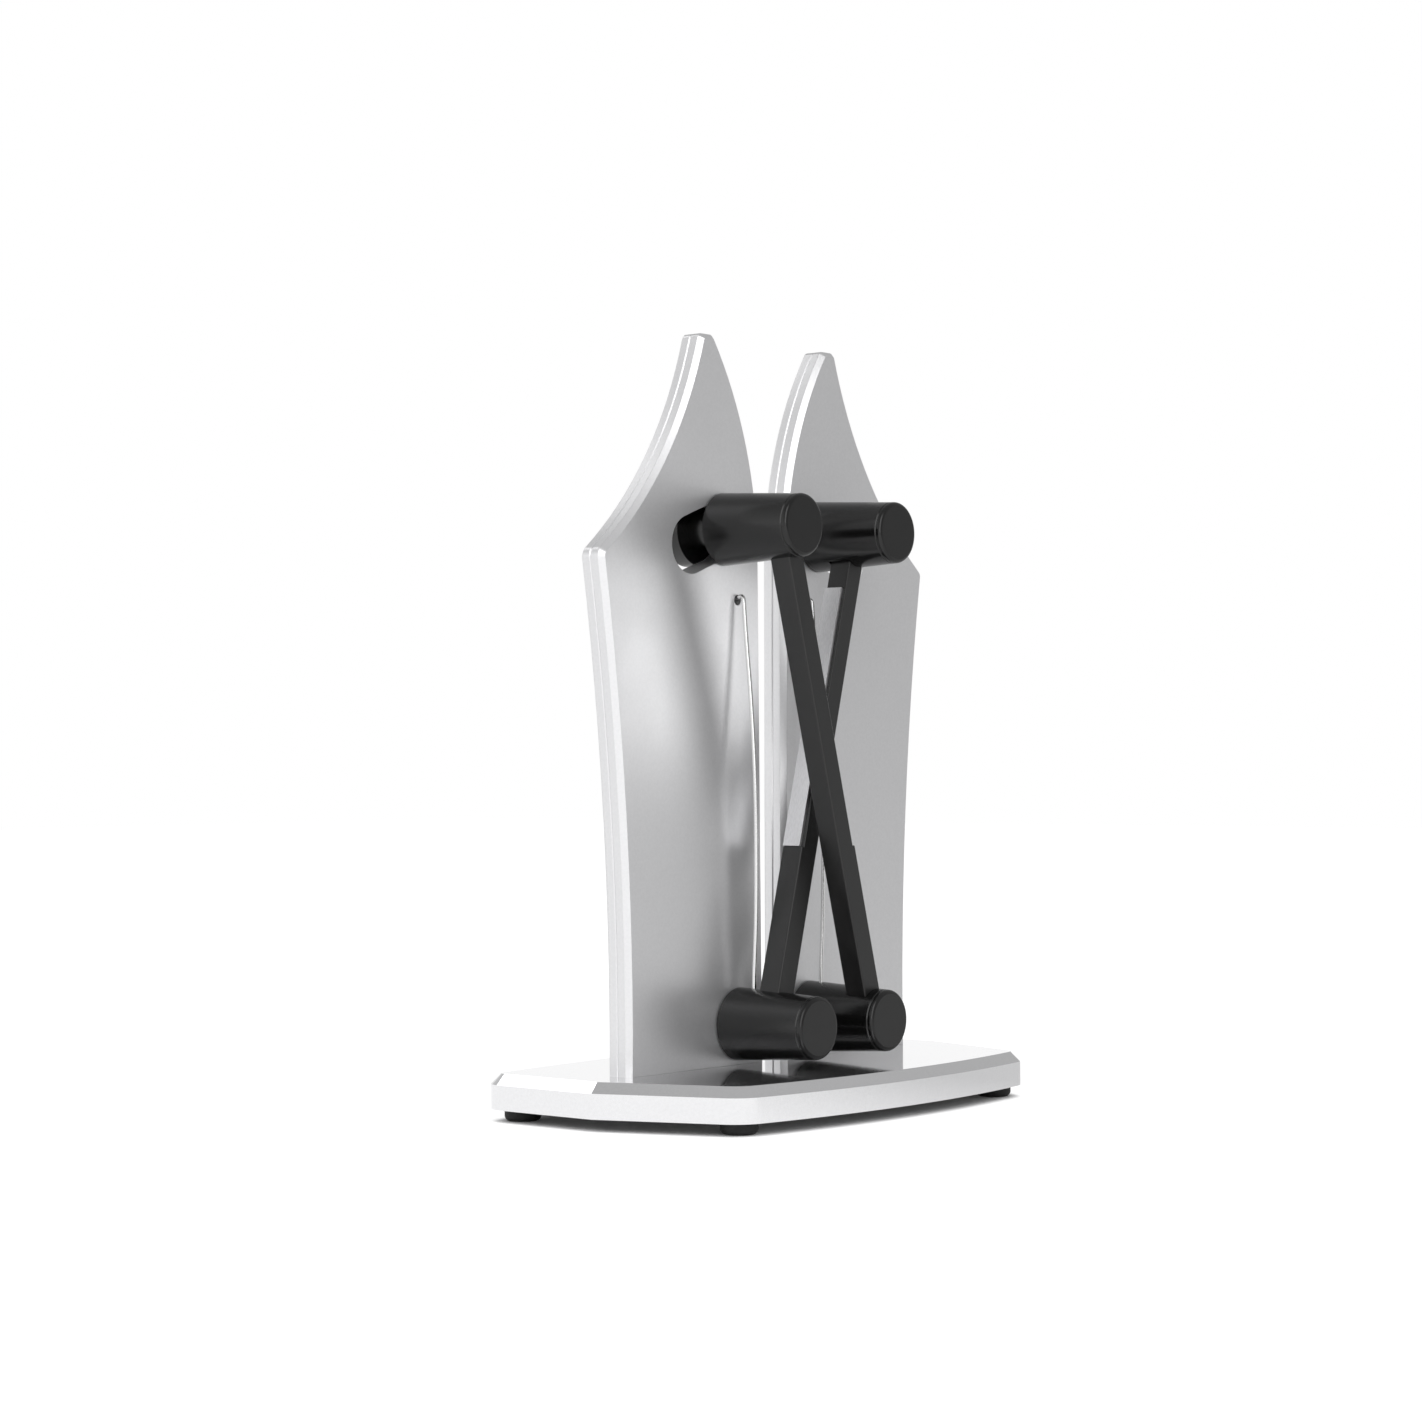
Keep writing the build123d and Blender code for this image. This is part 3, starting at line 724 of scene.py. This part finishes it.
@dataclass
class SpringWire:
    """Bowed steel wire from a hub's top to its hook through the fin.

    Each pair in route is a height above the wire's foot and a distance in front of the fins, in mm.
    """

    hand: Hand
    radius: float = 0.6 * MM
    foot_x: float = 14.6 * MM
    hole_x: float = 15.0 * MM
    fin_y: float = 5.0 * MM
    foot_height: float = 28.75 * MM
    rise: float = 107.1 * MM
    route: tuple[Pair, ...] = (
        (0.0, 8.5), (3.9, 8.5), (8.9, 8.6), (21.4, 9.3), (36.9, 9.55), (53.5, 9.6), (68.9, 9.0),
        (83.5, 8.0), (94.9, 6.9), (104.4, 6.2), (108.3, 5.9), (107.7, 3.9), (107.2, 1.0),
        (106.9, -3.0), (106.8, -5.3),
    )
    steps_round: int = 4
    steps_along: int = 8
    order: int = 3
    smooth: float = 60.0

    def centreline(self) -> bpy.types.Curve:
        """The wire as a smooth curve of round section."""
        curve = bpy.data.curves.new(self.hand.node("wire_line"), "CURVE")
        curve.dimensions = "3D"
        curve.bevel_depth = self.radius
        curve.bevel_resolution = self.steps_round
        curve.resolution_u = self.steps_along
        curve.use_fill_caps = True
        spline = curve.splines.new("NURBS")
        spline.points.add(len(self.route) - 1)
        for point, (up, distance) in zip(spline.points, self.route):
            share = min(1.0, up * MM / self.rise)
            x = self.hand.side * (self.foot_x + (self.hole_x - self.foot_x) * share)
            point.co = (x, self.fin_y - distance * MM, self.foot_height + up * MM, 1.0)
        spline.order_u = self.order
        spline.use_endpoint_u = True
        return curve

    def build(self, shop: Workshop) -> bpy.types.Object:
        """Makes the wire, bowed between its hub and the fin.

        Args:
            shop: The frame and its materials.

        Returns:
            The wire.
        """
        name = self.hand.node("wire")
        holder = bpy.data.objects.new(f"{name}_line", self.centreline())
        bpy.context.scene.collection.objects.link(holder)
        bpy.context.view_layer.update()
        depsgraph = bpy.context.evaluated_depsgraph_get()
        mesh = bpy.data.meshes.new_from_object(holder.evaluated_get(depsgraph))
        bpy.data.objects.remove(holder)
        drawing = bmesh.new()
        drawing.from_mesh(mesh)
        bmesh.ops.remove_doubles(drawing, verts=drawing.verts[:], dist=WELD)
        bmesh.ops.recalc_face_normals(drawing, faces=drawing.faces[:])
        made = shop.piece(name, drawing, "spring_steel", self.smooth)
        self.hand.body
        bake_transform(made)
        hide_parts(self.hand.node("spring_wire"))
        LOG.info("%s stands for %s", name, self.hand.node("spring_wire"))
        return made


@dataclass
class Lever:
    """One spring lever: its hub, arm with its hard strip, knob, rear cap and wire."""

    hand: Hand
    rounding: float = 0.3 * MM
    sharp: float = 60.0
    screw_head: Pair = (2.8 * MM, 1.6 * MM)
    plain: tuple[str, ...] = (
        "pivot_pin", "pivot_washer", "pivot_screw", "hub", "hub_cap", "carbide_strip", "knob",
        "knob_cap", "rear_cap",
    )

    def build(self, shop: Workshop) -> None:
        """Dresses the lever's nodes and makes its arm, wire and screw.

        Args:
            shop: The frame and its materials.
        """
        body = self.hand.body
        for part in self.plain:
            shop.dress(self.hand.node(part))
        SoftEdges(self.hand.node("arm"), body, self.rounding, Along.Z, sharp=self.sharp).build(shop)
        SpringWire(self.hand).build(shop)
        ScrewSet(self.hand.node("rear_cap_screw"), body, *self.screw_head, FORWARDS).build(shop)


@dataclass(frozen=True)
class Softbox:
    """One oblong lamp with an even face, whose radiance is 1 where it looks white."""

    name: str
    place: Triple
    aim: Triple
    size: Pair
    radiance: float

    def hang(self) -> bpy.types.Object:
        """Hangs the lamp with its face towards its aim."""
        light = bpy.data.lights.new(self.name, "AREA")
        light.shape = "RECTANGLE"
        light.size, light.size_y = self.size
        light.energy = math.pi * self.size[0] * self.size[1] * self.radiance
        lamp = bpy.data.objects.new(self.name, light)
        direction = Vector(self.aim) - Vector(self.place)
        turn = direction.to_track_quat("-Z", "Y").to_matrix().to_4x4()
        lamp.matrix_world = Matrix.Translation(self.place) @ turn
        lamp.visible_camera = False
        bpy.context.scene.collection.objects.link(lamp)
        return lamp


@dataclass
class Studio:
    """Pale floor, white background and soft lamps."""

    front_box: Softbox = Softbox("front_box", (-0.8, -1.25, 0.88), (0.0, 0.0, 0.1), (0.9, 1.6), 2.15)
    top_box: Softbox = Softbox("top_box", (-0.17, 1.13, 1.26), (-0.07, 0.0, 0.01), (0.46, 0.42), 1.9)
    card: Softbox = Softbox(
        "left_fin_card", (0.069, -0.095, 0.126), (-0.047, 0.005, 0.122), (0.045, 0.06), 1.5,
    )
    lit_by_card: str = "left_fin_front_skin"
    ambient: float = 0.46
    bright: float = 1.4
    shade: float = 0.5
    shade_range: Pair = (-0.55, 0.35)
    shade_side: Triple = (0.45, -0.35, 0.82)
    horizon: float = 1.05
    horizon_range: Pair = (0.14, 0.22)
    horizon_up: Triple = (0.1, -0.25, 1.0)
    floor_half: float = 3.0
    floor_tone: float = 0.86
    floor_roughness: float = 0.9
    floor_glow: float = 0.66
    # Painted shade: the floor's glow under and beside the object, dimmed by ambient occlusion
    shadow_glow: float = 0.02
    shadow_range: Pair = (0.22, 0.6)
    shadow_reach: float = 8.0 * MM
    shadow_samples: int = 8
    mirrored_range: Pair = (-0.05, 0.1)
    mirrored_share: float = 0.3

    def world(self) -> None:
        """White to the camera; to metal, a room with a pale horizon, shaded above; else plain grey."""
        world = bpy.data.worlds.new("studio_world")
        bpy.context.scene.world = world
        world.use_nodes = True
        world.cycles.sampling_method = "NONE"
        sky = Wiring(world.node_tree)
        shader = sky.tree.nodes["Background"]
        shader.inputs["Color"].default_value = WHITE
        direction = sky.add("ShaderNodeTexCoord").outputs["Generated"]
        shaded = sky.facing(direction, Vector(self.shade_side).normalized())
        room = sky.ranged(shaded, self.shade_range, (self.bright, self.shade))
        height = sky.facing(direction, self.horizon_up)
        band = sky.ranged(height, self.horizon_range, (self.horizon, 0.0))
        path = sky.add("ShaderNodeLightPath").outputs
        to_metal = sky.add("ShaderNodeMix", A=self.ambient)
        is_glossy = sky.combined("MAXIMUM", path["Is Glossy Ray"], path["Is Transmission Ray"])
        sky.join(is_glossy, to_metal.inputs["Factor"])
        sky.join(sky.combined("MAXIMUM", room, band), to_metal.inputs["B"])
        to_camera = sky.add("ShaderNodeMix", B=1.0)
        sky.join(path["Is Camera Ray"], to_camera.inputs["Factor"])
        sky.join(to_metal.outputs["Result"], to_camera.inputs["A"])
        sky.join(to_camera.outputs["Result"], shader.inputs["Strength"])

    def floor_white(self) -> bpy.types.Material:
        """White to the camera and to metal, which sees less of it on the right, with painted shade at the
        feet, where occlusion dims its glow.
        """
        bench = Bench("floor_white")
        bench.constant(
            Base_Color=(self.floor_tone, self.floor_tone, self.floor_tone, 1.0),
            Roughness=self.floor_roughness, Specular_IOR_Level=0.0, Emission_Color=WHITE,
        )
        path = bench.add("ShaderNodeLightPath").outputs
        across = bench.add("ShaderNodeSeparateXYZ")
        bench.join(bench.place, across.inputs["Vector"])
        mirrored = bench.ranged(across.outputs["X"], self.mirrored_range, (1.0, self.mirrored_share))
        in_gloss = bench.combined("MULTIPLY", path["Is Glossy Ray"], mirrored)
        seen = bench.combined("MAXIMUM", path["Is Camera Ray"], in_gloss)
        # Painted shade: ambient occlusion dims the floor's glow, so the floor darkens under and beside the
        # object
        air = bench.add(
            "ShaderNodeAmbientOcclusion", samples=self.shadow_samples, Distance=self.shadow_reach,
        )
        clear = bench.ranged(air.outputs["AO"], self.shadow_range, (self.shadow_glow, self.floor_glow))
        glow = bench.combined("MULTIPLY", seen, clear)
        bench.join(glow, bench.shader.inputs["Emission Strength"])
        return bench.material

    def floor(self) -> None:
        """White floor that keeps the object's cast shadow, with painted shade under it."""
        mesh = bpy.data.meshes.new("floor")
        drawing = bmesh.new()
        bmesh.ops.create_grid(drawing, x_segments=1, y_segments=1, size=self.floor_half)
        drawing.to_mesh(mesh)
        drawing.free()
        floor = bpy.data.objects.new("floor", mesh)
        bpy.context.scene.collection.objects.link(floor)
        mesh.materials.append(self.floor_white())

    def fin_card(self) -> None:
        """Hangs a small card that brightens the middle of the left fin, and nothing else."""
        lit = bpy.data.collections.new("lit_by_card")
        lit.objects.link(bpy.data.objects[self.lit_by_card])
        self.card.hang().light_linking.receiver_collection = lit

    def build(self) -> None:
        """Sets up the world, the floor and the lamps."""
        self.world()
        self.floor()
        self.front_box.hang()
        self.top_box.hang()


@dataclass
class PhotoCamera:
    """Camera at the photograph's place."""

    place: Triple = (-0.6827, -0.5347, 0.09395)
    azimuth: float = -50.771
    pitch: float = 0.83
    roll: float = -0.31
    lens: float = 81.42
    sensor: float = 36.0
    clip_start: float = 0.01

    def build(self) -> None:
        """Adds the camera and makes it the scene's."""
        data = bpy.data.cameras.new("photo_camera")
        data.lens = self.lens
        data.sensor_width = self.sensor
        data.clip_start = self.clip_start
        camera = bpy.data.objects.new("photo_camera", data)
        turn = Matrix.Rotation(math.radians(self.azimuth), 4, "Z")
        look = Matrix.Rotation(math.radians(90.0 + self.pitch), 4, "X")
        tilt = Matrix.Rotation(math.radians(self.roll), 4, "Z")
        camera.matrix_world = Matrix.Translation(self.place) @ turn @ look @ tilt
        bpy.context.scene.collection.objects.link(camera)
        bpy.context.scene.camera = camera


def main() -> None:
    """Loads the frame, then builds the camera, the studio and the sharpener's finishes and pieces."""
    logging.basicConfig(level=logging.INFO, format="%(name)s %(message)s")
    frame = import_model()
    bpy.context.scene.view_settings.view_transform = "Standard"
    PhotoCamera().build()
    studio = Studio()
    studio.build()
    shop = Workshop(frame, Finishes().by_slot())
    BaseUnit().build(shop)
    FinPair().build(shop)
    studio.fin_card()
    for hand in Hand:
        Lever(hand).build(shop)


if __name__ == "__main__":
    main()
